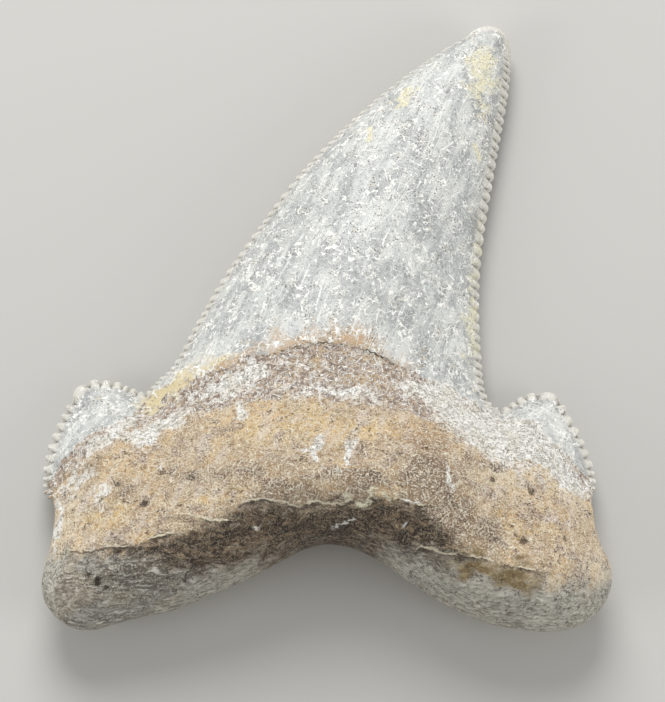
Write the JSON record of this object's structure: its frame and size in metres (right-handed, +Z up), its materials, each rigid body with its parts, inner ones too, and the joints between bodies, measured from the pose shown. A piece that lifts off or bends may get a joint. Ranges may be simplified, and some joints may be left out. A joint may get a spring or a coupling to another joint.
{
  "type": "fossil shark tooth",
  "caption": "Fossil shark tooth lying on its flat labial face: serrated leaning crown, two serrated side cusplets, and an arched root with two rounded lobes.",
  "frame": {"origin": "under the middle of the tooth, on the surface that its flat labial face rests on", "axes": "+X across the root from the left cusplet to the right one, +Y from the root to the tip of the crown, +Z up out of the rounded lingual face"},
  "size_m": [0.0649, 0.0763, 0.0179],
  "materials": {
    "fossil_tooth": "mineralised enamel, bluish grey with white mottling, over a speckled ochre and grey root; dull, with a low sheen on the enamel"
  },
  "bodies": {
    "root": {"tooth": "fossil_tooth"}
  },
  "joints": []
}
